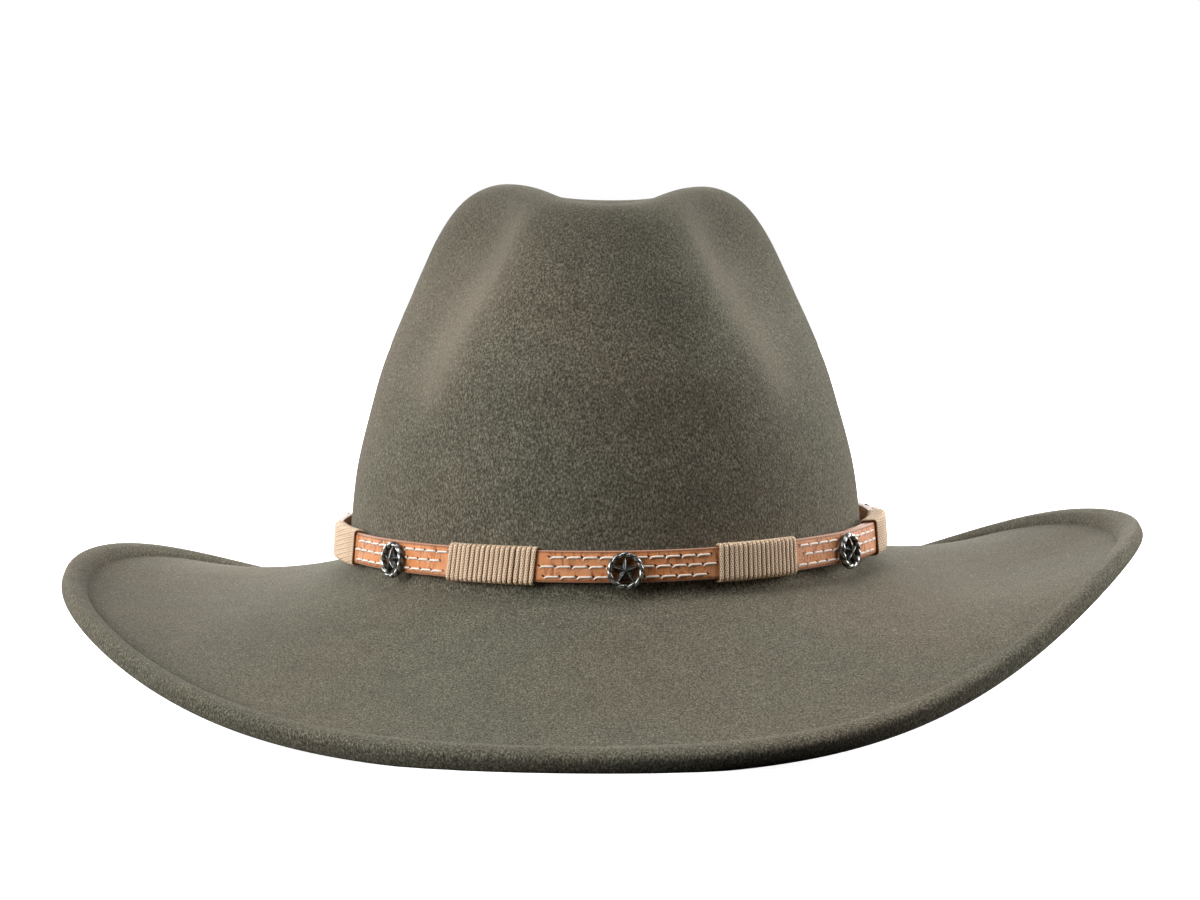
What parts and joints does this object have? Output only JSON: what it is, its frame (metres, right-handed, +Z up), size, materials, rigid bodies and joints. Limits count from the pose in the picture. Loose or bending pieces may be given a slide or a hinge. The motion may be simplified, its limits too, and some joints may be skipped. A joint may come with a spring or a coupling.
{
  "type": "felt hat",
  "caption": "Wide-brimmed felt hat with a creased and pinched crown, curled brim, turned hem and a stitched leather band with thread wraps and star conchos.",
  "frame": {"origin": "on the surface that the hat rests on, under the middle of the brim's outline", "axes": "+Z up through the crown, the hat's front faces -Y, +X to the right of someone who looks at the front"},
  "size_m": [0.3432, 0.3814, 0.1592],
  "materials": {
    "felt_body": "matte wool felt, olive grey",
    "band_strap": "waxed tan leather",
    "thread_wrap": "waxed cord, cream",
    "star_concho": "antiqued cast metal"
  },
  "bodies": {
    "root": {"felt_body": "felt_body", "band_strap": "band_strap", "thread_wrap_1": "thread_wrap", "thread_wrap_2": "thread_wrap", "thread_wrap_3": "thread_wrap", "thread_wrap_4": "thread_wrap", "thread_wrap_5": "thread_wrap", "thread_wrap_6": "thread_wrap", "thread_wrap_7": "thread_wrap", "star_concho_1": "star_concho", "star_concho_2": "star_concho", "star_concho_3": "star_concho", "star_concho_4": "star_concho", "star_concho_5": "star_concho", "star_concho_6": "star_concho", "star_concho_7": "star_concho"}
  },
  "joints": []
}
